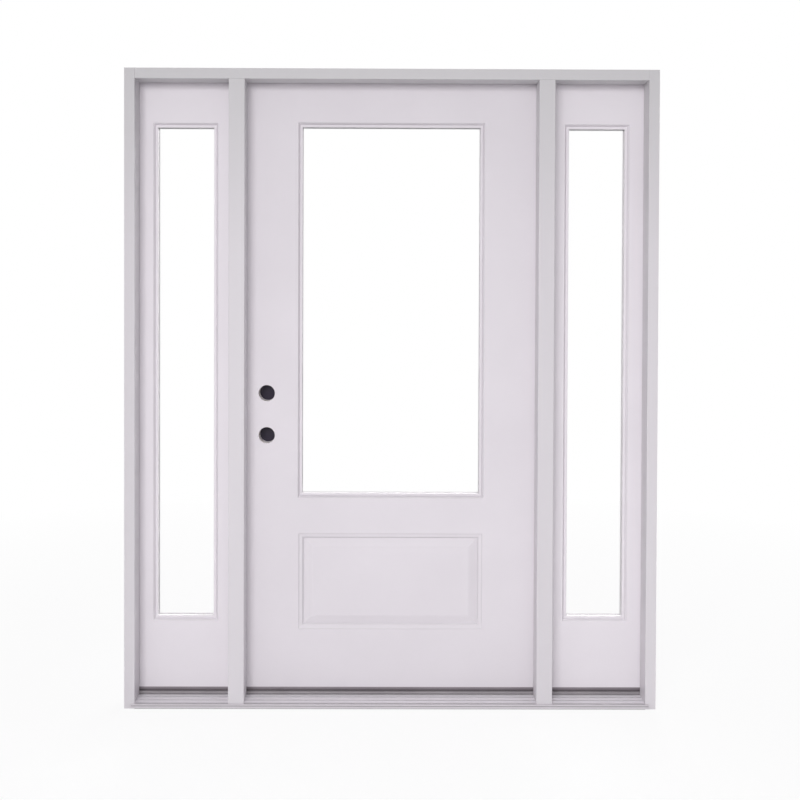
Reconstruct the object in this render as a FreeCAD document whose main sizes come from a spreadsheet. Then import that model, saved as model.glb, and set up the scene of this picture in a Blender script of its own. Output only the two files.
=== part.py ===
"""Entry door unit: an inward swinging leaf between fixed sidelights, in a rabbeted frame on a ribbed sill.

Millimetres. X runs to the right seen from outside, Y into the building, Z up; the origin lies on the floor,
on the centre line of the unit and midway through the depth of its frame.
"""

import os

import FreeCAD
import Part
import Sketcher

SIZES = {
    # Leaf and sidelight slabs
    "leaf_width": 965,
    "leaf_height": 2011,
    "leaf_thickness": 44.5,
    "leaf_gap": 5,
    "sidelight_width": 320,
    "slab_gap": 2,
    "lock_bevel": 2.4,
    # Frame members
    "jamb_depth": 116,
    "jamb_face": 34,
    "mullion_face": 52,
    "rabbet_depth": 10,
    "seal_gap": 8,
    "kerf_width": 3,
    "kerf_depth": 9,
    "edge_round": 2,
    # Sill
    "nose_reach": 6,
    "nose_lap": 10,
    "nose_lift": 3,
    "nose_groove_height": 11,
    "nose_groove_width": 2,
    "nose_groove_depth": 1.2,
    "deck_front_height": 16.5,
    "deck_back_height": 21,
    "deck_thickness": 4.5,
    "groove_width": 4.5,
    "groove_depth": 2.5,
    "groove_start": 6.5,
    "groove_pitch": 22.5,
    "cap_rise": 9,
    "cap_lip": 4,
    "cap_recess": 4,
    "sweep_height": 14,
    "fin_thickness": 2.4,
    "seal_clearance": 0.5,
    "bed_inset": 2,
    # Weatherstrips
    "bulb_inset": 1,
    "bulb_corner": 3,
    "barb_clearance": 0.1,
    "barb_relief": 0.5,
    "strip_end_gap": 0.3,
    # Leaf lite
    "lite_side": 188,
    "lite_sill": 646,
    "lite_drop": 148,
    "lite_border": 15,
    "sticking_depth": 9.5,
    "sticking_run": 6,
    "lip_width": 8,
    "lip_rise": 2.5,
    "lip_round": 1.5,
    "lip_depth": 12.5,
    "ovolo_radius": 9,
    "rim_width": 28,
    "rebate_margin": 12,
    "bead_clearance": 0.2,
    "glass_bite": 10,
    "pane_thickness": 4,
    "glass_unit_thickness": 18,
    "spacer_width": 6,
    "spacer_inset": 3,
    # Sidelight lite
    "side_lite_side": 67.5,
    "side_lite_sill": 236,
    "side_lite_drop": 151,
    # Raised panel
    "panel_side": 177,
    "panel_sill": 194,
    "panel_height": 319,
    "panel_depth": 9.5,
    "panel_margin": 10,
    "panel_step": 2.2,
    "panel_step_run": 1.4,
    "panel_slope": 1.6,
    "panel_slope_run": 7,
    "panel_ledge": 0.6,
    "panel_ovolo": 5.5,
    "moulding_width": 18.5,
    "bevel_width": 25,
    "field_drop": 1,
    "field_round": 20,
    # Leaf construction
    "skin_thickness": 2.5,
    "stile_width": 38,
    "top_rail_height": 38,
    "bottom_rail_height": 60,
    "lock_block_gap": 12,
    "lock_block_height": 420,
    # Lock preparation
    "backset": 70,
    "bore_diameter": 54,
    "bore_spacing": 140,
    "latch_height": 840,
    "edge_bore_diameter": 25,
    "faceplate_width": 26,
    "faceplate_height": 57,
    "faceplate_depth": 4,
    "strike_width": 29,
    "strike_height": 70,
    "strike_depth": 2,
    "strike_hole_depth": 18,
    "cover_diameter": 64,
    "cover_thickness": 2.4,
    "cover_round": 1.6,
    # Hinges
    "hinge_height": 101.6,
    "hinge_leaf_thickness": 2.5,
    "hinge_edge_margin": 6,
    "hinge_corner": 12,
    "pin_offset": 9,
    "knuckle_diameter": 14,
    "knuckle_gap": 0.4,
    "pin_diameter": 8,
    "pin_clearance": 0.05,
    "pin_head_diameter": 11,
    "pin_head_height": 3,
    "hinge_drop": 178,
    "hinge_rise": 284,
}

# Places worked out from the sizes
PLACES = {
    "front": "-Sizes.jamb_depth / 2",
    "back": "Sizes.jamb_depth / 2",
    "leaf_face": "back - Sizes.leaf_thickness",
    "shoulder": "leaf_face - Sizes.seal_gap",
    "middle": "(leaf_face + back) / 2",
    "leaf_edge": "Sizes.leaf_width / 2",
    "door_rabbet": "leaf_edge + Sizes.leaf_gap",
    "door_stop": "door_rabbet - Sizes.rabbet_depth",
    "mullion_outer": "door_stop + Sizes.mullion_face",
    "side_rabbet": "mullion_outer - Sizes.rabbet_depth",
    "slab_inner": "side_rabbet + Sizes.slab_gap",
    "slab_outer": "slab_inner + Sizes.sidelight_width",
    "slab_centre": "(slab_inner + slab_outer) / 2",
    "jamb_rabbet": "slab_outer + Sizes.slab_gap",
    "jamb_stop": "jamb_rabbet - Sizes.rabbet_depth",
    "jamb_outer": "jamb_stop + Sizes.jamb_face",
    "deck_slope": "(Sizes.deck_back_height - Sizes.deck_front_height) / (shoulder - front)",
    "nose_front": "front - Sizes.nose_reach",
    "nose_inside": "nose_front + Sizes.deck_thickness",
    "base_top": "Sizes.deck_back_height - Sizes.deck_thickness",
    "cap_top": "Sizes.deck_back_height + Sizes.cap_rise",
    "leaf_bottom": "cap_top + Sizes.sweep_height",
    "leaf_top": "leaf_bottom + Sizes.leaf_height",
    "head_rabbet": "leaf_top + Sizes.leaf_gap",
    "head_stop": "head_rabbet - Sizes.rabbet_depth",
    "unit_top": "head_stop + Sizes.jamb_face",
    "skin_back": "leaf_face + Sizes.skin_thickness",
    "inner_skin_back": "back - Sizes.skin_thickness",
    "stile_edge": "leaf_edge - Sizes.stile_width",
    "lock_face_edge": "-leaf_edge + Sizes.lock_bevel",
    "bevel_rate": "Sizes.lock_bevel / Sizes.leaf_thickness",
    "core_bottom": "leaf_bottom + Sizes.bottom_rail_height",
    "core_top": "leaf_top - Sizes.top_rail_height",
    "lite_width": "Sizes.leaf_width - 2 * Sizes.lite_side",
    "lite_height": "Sizes.leaf_height - Sizes.lite_sill - Sizes.lite_drop",
    "side_lite_width": "Sizes.sidelight_width - 2 * Sizes.side_lite_side",
    "side_lite_height": "Sizes.leaf_height - Sizes.side_lite_sill - Sizes.side_lite_drop",
    "glass_front": "leaf_face + Sizes.lip_depth",
    "glass_back": "glass_front + Sizes.glass_unit_thickness",
    "bore_x": "-leaf_edge + Sizes.backset",
    "latch_z": "leaf_bottom + Sizes.latch_height",
    "deadbolt_z": "latch_z + Sizes.bore_spacing",
    "block_bottom": "(latch_z + deadbolt_z - Sizes.lock_block_height) / 2",
    "block_top": "(latch_z + deadbolt_z + Sizes.lock_block_height) / 2",
    "block_edge": "-leaf_edge + Sizes.lite_side - Sizes.rim_width - Sizes.lock_block_gap",
    "pin_x": "(leaf_edge + door_rabbet) / 2",
    "pin_y": "back + Sizes.pin_offset",
    "hinge_edge": "leaf_face + Sizes.hinge_edge_margin",
    "knuckle_pitch": "Sizes.hinge_height / 5",
    "knuckle_length": "knuckle_pitch - Sizes.knuckle_gap",
    "low_hinge": "leaf_bottom + Sizes.hinge_rise",
    "top_hinge": "leaf_top - Sizes.hinge_drop - Sizes.hinge_height",
    "middle_hinge": "(low_hinge + top_hinge) / 2",
}

HINGES = ("Places.low_hinge", "Places.middle_hinge", "Places.top_hinge")
FRAME_LEAF_FACES = ("Places.door_rabbet", "Places.door_rabbet + Sizes.hinge_leaf_thickness")
DOOR_LEAF_FACES = ("Places.leaf_edge - Sizes.hinge_leaf_thickness", "Places.leaf_edge")
LOCK_BORES = ("Places.latch_z", "Places.deadbolt_z")
GROOVES = 3
FINS = 4

document = FreeCAD.newDocument("door_with_sidelights")


def fill_sheet(name, entries):
    """A sheet with one aliased cell for each entry."""
    sheet = document.addObject("Spreadsheet::Sheet", name)
    for row, (alias, text) in enumerate(entries.items(), start=1):
        sheet.set(f"A{row}", alias)
        sheet.set(f"B{row}", text)
        sheet.setAlias(f"B{row}", alias)
    document.recompute()
    return sheet


fill_sheet("Sizes", {alias: str(value) for alias, value in SIZES.items()})
places = fill_sheet("Places", {alias: "=" + formula for alias, formula in PLACES.items()})
finished = []


def number(expression):
    """The present value of an expression over the two sheets."""
    return float(places.evalExpression(expression))


def new_body(label):
    """An empty solid with the name of its sub-part."""
    body = document.addObject("PartDesign::Body", "Body")
    body.Label = label
    return body


def finish(piece):
    """Put a piece on the list of those to be written out."""
    finished.append(piece)
    return piece


def gather(label, pieces):
    """Several loose solids of one kind under one name."""
    group = document.addObject("Part::Compound", "Group")
    group.Label = label
    group.Links = pieces
    return finish(group)


def sketch_on(body, role, lift="0"):
    """A sketch on one of the body's own planes, lifted along the plane's normal."""
    sketch = body.newObject("Sketcher::SketchObject", "Outline")
    plane = next(feature for feature in body.Origin.OriginFeatures if feature.Role == role)
    sketch.AttachmentSupport = [(plane, "")]
    sketch.MapMode = "FlatFace"
    sketch.setExpression("AttachmentOffset.Base.z", lift)
    return sketch


def facing_sketch(body, depth):
    """A sketch of the elevation, at a given depth into the building."""
    return sketch_on(body, "XZ_Plane", f"-({depth})")


def polygon(sketch, corners):
    """A closed outline with every corner bound to its own two distances."""
    first = sketch.GeometryCount
    count = len(corners)
    spots = [FreeCAD.Vector(number(across), number(up), 0) for across, up in corners]
    sketch.addGeometry(
        [Part.LineSegment(spots[index], spots[(index + 1) % count]) for index in range(count)], False
    )
    rules = []
    for index in range(count):
        rules.append(Sketcher.Constraint("Coincident", first + index, 2, first + (index + 1) % count, 1))
    for index, spot in enumerate(spots):
        rules.append(Sketcher.Constraint("DistanceX", -1, 1, first + index, 1, spot.x))
        rules.append(Sketcher.Constraint("DistanceY", -1, 1, first + index, 1, spot.y))
    numbers = sketch.addConstraint(rules)
    for index, (across, up) in enumerate(corners):
        sketch.setExpression(f"Constraints[{numbers[count + 2 * index]}]", across)
        sketch.setExpression(f"Constraints[{numbers[count + 2 * index + 1]}]", up)


def rectangle(sketch, left, right, low, high):
    """A bound rectangle."""
    polygon(sketch, [(left, low), (right, low), (right, high), (left, high)])


def circle(sketch, across, up, diameter):
    """A bound circle."""
    centre = FreeCAD.Vector(number(across), number(up), 0)
    index = sketch.addGeometry(
        Part.Circle(centre, FreeCAD.Vector(0, 0, 1), number(diameter) / 2), False
    )
    rules = [
        Sketcher.Constraint("DistanceX", -1, 1, index, 3, centre.x),
        Sketcher.Constraint("DistanceY", -1, 1, index, 3, centre.y),
        Sketcher.Constraint("Diameter", index, number(diameter)),
    ]
    for position, expression in zip(sketch.addConstraint(rules), (across, up, diameter)):
        sketch.setExpression(f"Constraints[{position}]", expression)


def pad(body, sketch, length, back=False, both=False):
    """Raise a sketch into material, against its normal where back is set or evenly to both sides."""
    feature = body.newObject("PartDesign::Pad", "Pad")
    feature.Profile = sketch
    feature.SideType = "Symmetric" if both else "One side"
    feature.Reversed = back
    feature.setExpression("Length", length)
    document.recompute()
    return feature


def pocket(body, sketch, depth=None, back=False, run=None):
    """Cut a sketch out of the body: through it, or to a depth against the sketch's normal.

    With back set the cut goes along the normal. A run slopes the walls in by that much at the floor.
    """
    before = body.Shape.Volume
    feature = body.newObject("PartDesign::Pocket", "Pocket")
    feature.Profile = sketch
    feature.Reversed = back
    if depth is None:
        feature.Type = "ThroughAll"
        feature.SideType = "Symmetric"
    else:
        feature.setExpression("Length", depth)
    if run is not None:
        feature.setExpression("TaperAngle", f"-atan(({run}) / ({depth}))")
    document.recompute()
    if not body.Shape.Volume < before - 0.01:
        raise RuntimeError(f"nothing was cut from {body.Label}")
    return feature


def between(corners):
    """A rule that picks every edge between two of the given corners."""
    spots = [FreeCAD.Vector(*corner) for corner in corners]

    def rule(edge):
        ends = [vertex.Point for vertex in edge.Vertexes]
        return len(ends) == 2 and all(any(end.isEqual(spot, 0.01) for spot in spots) for end in ends)

    return rule


def round_edges(body, radius, rule):
    """Round every edge of a body that a rule picks."""
    base = body.Tip
    names = [f"Edge{index}" for index, edge in enumerate(base.Shape.Edges, start=1) if rule(edge)]
    if not names:
        raise RuntimeError(f"no edge to round on {body.Label}")
    feature = body.newObject("PartDesign::Fillet", "Round")
    feature.Base = (base, names)
    feature.setExpression("Radius", radius)
    document.recompute()
    if "Invalid" in feature.State:
        raise RuntimeError(f"no round fits on {body.Label}")


def elevation_corners(left, right, low, high, depth):
    """The four corners of a rectangle in the elevation."""
    across = (number(left), number(right))
    up = (number(low), number(high))
    return [(x, number(depth), z) for x in across for z in up]


def kerf(start, end):
    """The slot for a weatherstrip, in the middle of a shoulder walked from start to end."""
    middle = f"({start} + {end}) / 2"
    half = f"({end} - ({start})) / Sizes.rabbet_depth * Sizes.kerf_width / 2"
    floor = "Places.shoulder - Sizes.kerf_depth"
    return [
        (f"{middle} - {half}", "Places.shoulder"),
        (f"{middle} - {half}", floor),
        (f"{middle} + {half}", floor),
        (f"{middle} + {half}", "Places.shoulder"),
    ]


def deck_line(depth):
    """Height of the sloping deck at a given depth."""
    return f"Sizes.deck_front_height + Places.deck_slope * ({depth} - Places.front)"


def side(sign, place):
    """A distance from the centre line, to the left for sign -1 and to the right for sign 1."""
    return f"{sign} * {place}"


# Frame


def side_jamb(label, sign):
    """A rabbeted side jamb from the floor to the top of the unit."""
    body = new_body(label)
    stop = side(sign, "Places.jamb_stop")
    rabbet = side(sign, "Places.jamb_rabbet")
    outer = side(sign, "Places.jamb_outer")
    section = sketch_on(body, "XY_Plane")
    polygon(
        section,
        [
            (stop, "Places.front"),
            (outer, "Places.front"),
            (outer, "Places.back"),
            (rabbet, "Places.back"),
            (rabbet, "Places.shoulder"),
            *kerf(rabbet, stop),
            (stop, "Places.shoulder"),
        ],
    )
    pad(body, section, "Places.unit_top")
    ends = [(number(stop), number("Places.front"), height) for height in (0, number("Places.unit_top"))]
    round_edges(body, "Sizes.edge_round", between(ends))
    return finish(body)


def head_jamb():
    """The rabbeted head, let in between the side jambs."""
    body = new_body("head_jamb")
    section = sketch_on(body, "YZ_Plane")
    slot = [(height, depth) for depth, height in kerf("Places.head_stop", "Places.head_rabbet")]
    polygon(
        section,
        [
            ("Places.front", "Places.head_stop"),
            ("Places.shoulder", "Places.head_stop"),
            *slot,
            ("Places.shoulder", "Places.head_rabbet"),
            ("Places.back", "Places.head_rabbet"),
            ("Places.back", "Places.unit_top"),
            ("Places.front", "Places.unit_top"),
        ],
    )
    pad(body, section, "2 * Places.jamb_rabbet", both=True)
    notch_ends(body, "Places.front")
    arris = (number("Places.front"), number("Places.head_stop"))
    ends = [(sign * number("Places.jamb_stop"), *arris) for sign in (-1, 1)]
    round_edges(body, "Sizes.edge_round", between(ends))
    return finish(body)


def notch_ends(body, start):
    """Cut both ends back to the stops, from a given depth to the shoulder."""
    plan = sketch_on(body, "XY_Plane")
    for sign in (-1, 1):
        rectangle(
            plan,
            side(sign, "Places.jamb_stop"),
            side(sign, "(Places.jamb_outer + 1)"),
            start,
            "Places.shoulder",
        )
    pocket(body, plan)


def mullion(label, sign):
    """A T shaped post with a rabbet on either side, scribed to the sill and let into the head."""
    body = new_body(label)
    stop = side(sign, "Places.door_stop")
    rabbet = side(sign, "Places.door_rabbet")
    far_stop = side(sign, "Places.mullion_outer")
    far_rabbet = side(sign, "Places.side_rabbet")
    section = sketch_on(body, "XY_Plane")
    polygon(
        section,
        [
            (stop, "Places.front"),
            (far_stop, "Places.front"),
            (far_stop, "Places.shoulder"),
            *kerf(far_stop, far_rabbet),
            (far_rabbet, "Places.shoulder"),
            (far_rabbet, "Places.back"),
            (rabbet, "Places.back"),
            (rabbet, "Places.shoulder"),
            *kerf(rabbet, stop),
            (stop, "Places.shoulder"),
        ],
    )
    pad(body, section, "Places.head_rabbet")
    scribe = sketch_on(body, "YZ_Plane")
    polygon(
        scribe,
        [
            ("Places.front - 1", "-1"),
            ("Places.front - 1", deck_line("(Places.front - 1)")),
            ("Places.shoulder", "Sizes.deck_back_height"),
            ("Places.shoulder", "Places.base_top"),
            ("Places.back + 1", "Places.base_top"),
            ("Places.back + 1", "-1"),
        ],
    )
    pocket(body, scribe)
    halving = sketch_on(body, "YZ_Plane")
    rectangle(
        halving, "Places.front - 1", "Places.shoulder", "Places.head_stop", "Places.head_rabbet + 1"
    )
    pocket(body, halving)
    heights = (number("Sizes.deck_front_height"), number("Places.head_stop"))
    for edge in (stop, far_stop):
        ends = [(number(edge), number("Places.front"), height) for height in heights]
        round_edges(body, "Sizes.edge_round", between(ends))
    return body


def round_hinge_corners(body, edges, low):
    """Round the two corners of a hinge leaf, or of its mortise, that lie away from the pin."""
    heights = (number(low), number(f"{low} + Sizes.hinge_height"))
    for height in heights:
        ends = [(number(edge), number("Places.hinge_edge"), height) for edge in edges]
        round_edges(body, "Sizes.hinge_corner", between(ends))


def hinge_mortises(body, face, back):
    """Let the three hinge leaves into an upright face."""
    recess = sketch_on(body, "YZ_Plane", face)
    for low in HINGES:
        rectangle(recess, "Places.hinge_edge", "Places.back + 1", low, f"{low} + Sizes.hinge_height")
    pocket(body, recess, "Sizes.hinge_leaf_thickness", back=back)


def lock_mullion():
    """The left mullion with the two strike mortises."""
    body = mullion("left_mullion", -1)
    face = side(-1, "Places.door_rabbet")
    plate = sketch_on(body, "YZ_Plane", face)
    hole = sketch_on(body, "YZ_Plane", face)
    for height in LOCK_BORES:
        rectangle(
            plate,
            "Places.middle - Sizes.strike_width / 2",
            "Places.middle + Sizes.strike_width / 2",
            f"{height} - Sizes.strike_height / 2",
            f"{height} + Sizes.strike_height / 2",
        )
        circle(hole, "Places.middle", height, "Sizes.edge_bore_diameter")
    pocket(body, plate, "Sizes.strike_depth")
    pocket(body, hole, "Sizes.strike_hole_depth")
    return finish(body)


def hinge_mullion():
    """The right mullion with the mortises of the hinges."""
    body = mullion("right_mullion", 1)
    hinge_mortises(body, "Places.door_rabbet", True)
    for low in HINGES:
        round_hinge_corners(body, FRAME_LEAF_FACES, low)
    return finish(body)


# Sill


def sill_deck():
    """The sloping metal deck, grooved along its length, with a nose that laps the faces of the jambs."""
    body = new_body("sill_deck")
    section = sketch_on(body, "YZ_Plane")
    groove_low = "Sizes.nose_groove_height - Sizes.nose_groove_width / 2"
    groove_high = "Sizes.nose_groove_height + Sizes.nose_groove_width / 2"
    groove_floor = "Places.nose_front + Sizes.nose_groove_depth"
    groove = [
        ("Places.nose_front", groove_low),
        (groove_floor, groove_low),
        (groove_floor, groove_high),
        ("Places.nose_front", groove_high),
    ]
    top = [("Places.nose_front", deck_line("Places.nose_front"))]
    for index in range(GROOVES):
        near = f"(Places.nose_front + Sizes.groove_start + {index} * Sizes.groove_pitch)"
        far = f"({near} + Sizes.groove_width)"
        top.append((near, deck_line(near)))
        top.append((near, f"{deck_line(near)} - Sizes.groove_depth"))
        top.append((far, f"{deck_line(far)} - Sizes.groove_depth"))
        top.append((far, deck_line(far)))
    polygon(
        section,
        [
            ("Places.nose_front", "Sizes.nose_lift"),
            *groove,
            *top,
            ("Places.shoulder", "Sizes.deck_back_height"),
            ("Places.shoulder", "Places.base_top"),
            ("Places.nose_inside", f"{deck_line('Places.nose_inside')} - Sizes.deck_thickness"),
            ("Places.nose_inside", "Sizes.nose_lift"),
        ],
    )
    pad(body, section, "2 * (Places.jamb_stop + Sizes.nose_lap)", both=True)
    plan = sketch_on(body, "XY_Plane")
    for sign in (-1, 1):
        rectangle(
            plan,
            side(sign, "Places.jamb_stop"),
            side(sign, "(Places.jamb_outer + 1)"),
            "Places.front",
            "Places.shoulder + 1",
        )
    pocket(body, plan)
    reach = number("Places.jamb_stop + Sizes.nose_lap")
    front_top = (number("Places.nose_front"), number(deck_line("Places.nose_front")))
    round_edges(body, "Sizes.edge_round", between([(sign * reach, *front_top) for sign in (-1, 1)]))
    return finish(body)


def sill_base():
    """The solid bed under the deck, let in between the jambs."""
    body = new_body("sill_base")
    section = sketch_on(body, "YZ_Plane")
    polygon(
        section,
        [
            ("Places.nose_inside", "0"),
            ("Places.nose_inside", f"{deck_line('Places.nose_inside')} - Sizes.deck_thickness"),
            ("Places.shoulder", "Places.base_top"),
            ("Places.back", "Places.base_top"),
            ("Places.back", "0"),
        ],
    )
    pad(body, section, "2 * Places.jamb_rabbet", both=True)
    notch_ends(body, "Places.nose_front - 1")
    return finish(body)


def sill_cap(label, left, right):
    """A cap over the back of the sill, with a lip along its front, eased along both edges."""
    body = new_body(label)
    section = sketch_on(body, "YZ_Plane", left)
    lip_low = "Places.cap_top - Sizes.cap_lip"
    recess = "Places.shoulder + Sizes.cap_recess"
    polygon(
        section,
        [
            ("Places.shoulder", "Places.cap_top"),
            ("Places.shoulder", lip_low),
            (recess, lip_low),
            (recess, "Places.base_top"),
            ("Places.back", "Places.base_top"),
            ("Places.back", "Places.cap_top"),
        ],
    )
    pad(body, section, f"{right} - ({left})")
    for depth in ("Places.shoulder", "Places.back"):
        ends = [(number(end), number(depth), number("Places.cap_top")) for end in (left, right)]
        round_edges(body, "Sizes.edge_round", between(ends))
    return finish(body)


# Weatherstrips


def strip_section(start, end):
    """Bulb and barb of a weatherstrip on a shoulder between two places."""
    middle = f"({start} + {end}) / 2"
    bulb = "(Sizes.rabbet_depth / 2 - Sizes.bulb_inset)"
    barb = "(Sizes.kerf_width / 2 - Sizes.barb_clearance)"
    crown = f"({bulb} - Sizes.bulb_corner)"
    tip = "Places.leaf_face - Sizes.seal_clearance"
    brow = f"{tip} - Sizes.bulb_corner"
    root = "Places.shoulder - Sizes.kerf_depth + Sizes.barb_relief"
    return [
        (f"{middle} - {barb}", root),
        (f"{middle} + {barb}", root),
        (f"{middle} + {barb}", "Places.shoulder"),
        (f"{middle} + {bulb}", "Places.shoulder"),
        (f"{middle} + {bulb}", brow),
        (f"{middle} + {crown}", tip),
        (f"{middle} - {crown}", tip),
        (f"{middle} - {bulb}", brow),
        (f"{middle} - {bulb}", "Places.shoulder"),
        (f"{middle} - {barb}", "Places.shoulder"),
    ]


def upright_strip(label, stop, rabbet):
    """A weatherstrip down one side of an opening."""
    body = new_body(label)
    section = sketch_on(body, "XY_Plane", "Places.cap_top + Sizes.strip_end_gap")
    polygon(section, strip_section(stop, rabbet))
    pad(body, section, "Places.head_stop - Places.cap_top - 2 * Sizes.strip_end_gap")
    return body


def head_strip(label, left, right):
    """A weatherstrip across the head of an opening."""
    body = new_body(label)
    section = sketch_on(body, "YZ_Plane", left)
    across = strip_section("Places.head_stop", "Places.head_rabbet")
    polygon(section, [(depth, height) for height, depth in across])
    pad(body, section, f"{right} - ({left})")
    return body


def door_weatherstrip():
    """The three strips the leaf closes against."""
    ends = "(Places.door_rabbet - Sizes.strip_end_gap)"
    pieces = [head_strip("door_head_strip", side(-1, ends), side(1, ends))]
    for sign in (-1, 1):
        stop = side(sign, "Places.door_stop")
        rabbet = side(sign, "Places.door_rabbet")
        pieces.append(upright_strip("door_side_strip", stop, rabbet))
    return gather("door_weatherstrip", pieces)


def sidelight_weatherstrip(label, sign):
    """The three strips behind the stops of a sidelight."""
    near = "(Places.side_rabbet + Sizes.strip_end_gap)"
    far = "(Places.jamb_stop - Sizes.strip_end_gap)"
    left, right = (near, far) if sign > 0 else (side(-1, far), side(-1, near))
    pieces = [head_strip(f"{label}_head", left, right)]
    sides = (("Places.mullion_outer", "Places.side_rabbet"), ("Places.jamb_stop", "Places.jamb_rabbet"))
    for stop, rabbet in sides:
        pieces.append(upright_strip(f"{label}_side", side(sign, stop), side(sign, rabbet)))
    return gather(label, pieces)


# Lites


class Lite:
    """A glazed opening: its middle, its clear width and its lower and upper sight lines."""

    def __init__(self, centre, width, low, height):
        self.centre = centre
        self.width = width
        self.low = low
        self.height = height

    def around(self, margin):
        """Left, right, low and high, a margin outside the sight lines."""
        return (
            f"{self.centre} - {self.width} / 2 - ({margin})",
            f"{self.centre} + {self.width} / 2 + ({margin})",
            f"{self.low} - ({margin})",
            f"{self.low} + {self.height} + ({margin})",
        )


DOOR_LITE = Lite("0", "Places.lite_width", "Places.leaf_bottom + Sizes.lite_sill", "Places.lite_height")


def side_lite(sign):
    """The glazed opening of one sidelight."""
    return Lite(
        side(sign, "Places.slab_centre"),
        "Places.side_lite_width",
        "Places.leaf_bottom + Sizes.side_lite_sill",
        "Places.side_lite_height",
    )


def frame_ring(body, outer, inner, depth, length):
    """A rectangular ring, raised into the building from a given depth."""
    ring = facing_sketch(body, depth)
    rectangle(ring, *outer)
    rectangle(ring, *inner)
    pad(body, ring, length, back=True)


def sticking(body, lite):
    """The moulded outside edge of a lite: a steep wall, a groove and a flat lip beside the glass."""
    border = facing_sketch(body, "Places.leaf_face")
    rectangle(border, *lite.around("Sizes.lite_border"))
    pocket(body, border, "Sizes.sticking_depth", run="Sizes.sticking_run")
    face = "Places.leaf_face + Sizes.sticking_depth - Sizes.lip_rise"
    frame_ring(body, lite.around("Sizes.lip_width"), lite.around("0"), face, "Sizes.lip_rise")
    round_edges(body, "Sizes.lip_round", between(elevation_corners(*lite.around("0"), face)))


def glass_unit(label, lite):
    """Two panes, seated on the outside lip and under the inside bead."""
    panes = []
    for depth in ("Places.glass_front", "Places.glass_back - Sizes.pane_thickness"):
        body = new_body(f"{label}_pane")
        face = facing_sketch(body, depth)
        rectangle(face, *lite.around("Sizes.glass_bite"))
        pad(body, face, "Sizes.pane_thickness", back=True)
        panes.append(body)
    return gather(label, panes)


def glass_spacer(label, lite):
    """The bar that holds two panes apart."""
    body = new_body(label)
    frame_ring(
        body,
        lite.around("Sizes.glass_bite - Sizes.spacer_inset"),
        lite.around("Sizes.glass_bite - Sizes.spacer_inset - Sizes.spacer_width"),
        "Places.glass_front + Sizes.pane_thickness",
        "Sizes.glass_unit_thickness - 2 * Sizes.pane_thickness",
    )
    return finish(body)


def glazing_bead(label, lite):
    """The inside bead, rounded down to the glass."""
    body = new_body(label)
    frame_ring(
        body,
        lite.around("Sizes.rebate_margin - Sizes.bead_clearance"),
        lite.around("0"),
        "Places.glass_back",
        "Places.back - Places.glass_back",
    )
    corners = elevation_corners(*lite.around("0"), "Places.back")
    round_edges(body, "Sizes.ovolo_radius", between(corners))
    return finish(body)


# Sidelights


def sidelight(name, sign):
    """A fixed slab with one tall lite, bedded on a black strip."""
    lite = side_lite(sign)
    slab = new_body(f"{name}_slab")
    edges = (side(sign, "Places.slab_inner"), side(sign, "Places.slab_outer"))
    face = facing_sketch(slab, "Places.leaf_face")
    rectangle(face, *edges, "Places.leaf_bottom", "Places.leaf_top")
    rectangle(face, *lite.around("0"))
    pad(slab, face, "Sizes.leaf_thickness", back=True)
    rebate = facing_sketch(slab, "Places.back")
    rectangle(rebate, *lite.around("Sizes.rebate_margin"))
    pocket(slab, rebate, "Sizes.leaf_thickness - Sizes.lip_depth", back=True)
    sticking(slab, lite)
    finish(slab)
    glass_unit(f"{name}_glass", lite)
    glass_spacer(f"{name}_spacer", lite)
    glazing_bead(f"{name}_bead", lite)
    bed = new_body(f"{name}_bed")
    foot = facing_sketch(bed, "Places.leaf_face + Sizes.bed_inset")
    rectangle(foot, *edges, "Places.cap_top", "Places.leaf_bottom")
    pad(bed, foot, "Sizes.leaf_thickness - 2 * Sizes.bed_inset", back=True)
    finish(bed)


# Leaf


def raised_panel(body, face, inside):
    """Mould a raised and fielded panel into a skin: step, slope, quarter round, bevel and field."""
    into = -1 if inside else 1
    block = panel_rectangle("-Sizes.panel_margin")
    backing = facing_sketch(body, face)
    rectangle(backing, *block)
    pad(body, backing, "Sizes.panel_depth + Sizes.skin_thickness", back=not inside)
    step = facing_sketch(body, face)
    rectangle(step, *panel_rectangle("0"))
    pocket(body, step, "Sizes.panel_step", back=inside, run="Sizes.panel_step_run")
    slope = facing_sketch(body, f"{face} + {into} * Sizes.panel_step")
    slope_edge = "Sizes.panel_step_run + Sizes.panel_ledge"
    rectangle(slope, *panel_rectangle(slope_edge))
    pocket(body, slope, "Sizes.panel_slope", back=inside, run="Sizes.panel_slope_run")
    sunk = facing_sketch(body, face)
    brink = panel_rectangle(f"{slope_edge} + Sizes.panel_slope_run + Sizes.panel_ledge + Sizes.panel_ovolo")
    rectangle(sunk, *brink)
    pocket(body, sunk, "Sizes.panel_depth", back=inside)
    corners = elevation_corners(*brink, f"{face} + {into} * (Sizes.panel_step + Sizes.panel_slope)")
    round_edges(body, "Sizes.panel_ovolo", between(corners))
    foot = facing_sketch(body, f"{face} + {into} * Sizes.panel_depth")
    rectangle(foot, *panel_rectangle("Sizes.moulding_width"))
    field_face = f"{face} + {into} * Sizes.field_drop"
    field_edge = panel_rectangle("Sizes.moulding_width + Sizes.bevel_width")
    field = facing_sketch(body, field_face)
    rectangle(field, *field_edge)
    rise = body.newObject("PartDesign::AdditiveLoft", "Field")
    rise.Profile = foot
    rise.Sections = [field]
    rise.Ruled = True
    document.recompute()
    round_edges(body, "Sizes.field_round", between(elevation_corners(*field_edge, field_face)))


def panel_rectangle(inset):
    """Left, right, low and high of the raised panel, moved in by an inset."""
    half = f"(Places.leaf_edge - Sizes.panel_side - ({inset}))"
    low = "(Places.leaf_bottom + Sizes.panel_sill)"
    return (f"-{half}", half, f"{low} + ({inset})", f"{low} + Sizes.panel_height - ({inset})")


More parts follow.
